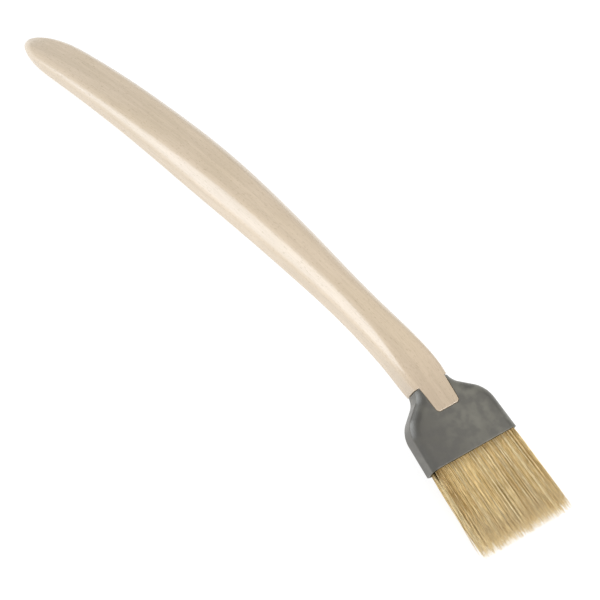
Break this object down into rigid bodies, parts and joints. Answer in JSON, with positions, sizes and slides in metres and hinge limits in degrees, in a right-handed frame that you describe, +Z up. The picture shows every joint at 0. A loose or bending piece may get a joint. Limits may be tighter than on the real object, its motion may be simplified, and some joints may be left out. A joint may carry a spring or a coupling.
{
  "type": "paint brush",
  "caption": "Flat 2 inch paint brush with natural bristles, a forked moulded ferrule and a long wooden handle bent back for reaching behind pipes and radiators.",
  "frame": {"origin": "centre of the footprint's box, on the surface that the brush lies on", "axes": "+Z up; +Y from the bristle tips towards the end of the handle; +X across the brush, to the right as its front is seen with the bristles towards the viewer"},
  "size_m": [0.0532, 0.395, 0.0485],
  "materials": {
    "lacquered_beech": "satin clear lacquer over pale beech with fine flecks",
    "grey_plastic": "satin moulded, warm mid grey",
    "adhesive": "cured, pale",
    "resin": "cured, amber",
    "plain_wood": "sawn, bare",
    "bristle": "natural light bristle, tan to straw with pale flagged tips"
  },
  "bodies": {
    "root": {"handle": "lacquered_beech", "ferrule": "grey_plastic", "tenon_adhesive": "adhesive", "setting_resin": "resin", "filler_strip": "plain_wood", "bristle_row_front": "bristle", "bristle_row_back": "bristle"}
  },
  "joints": []
}
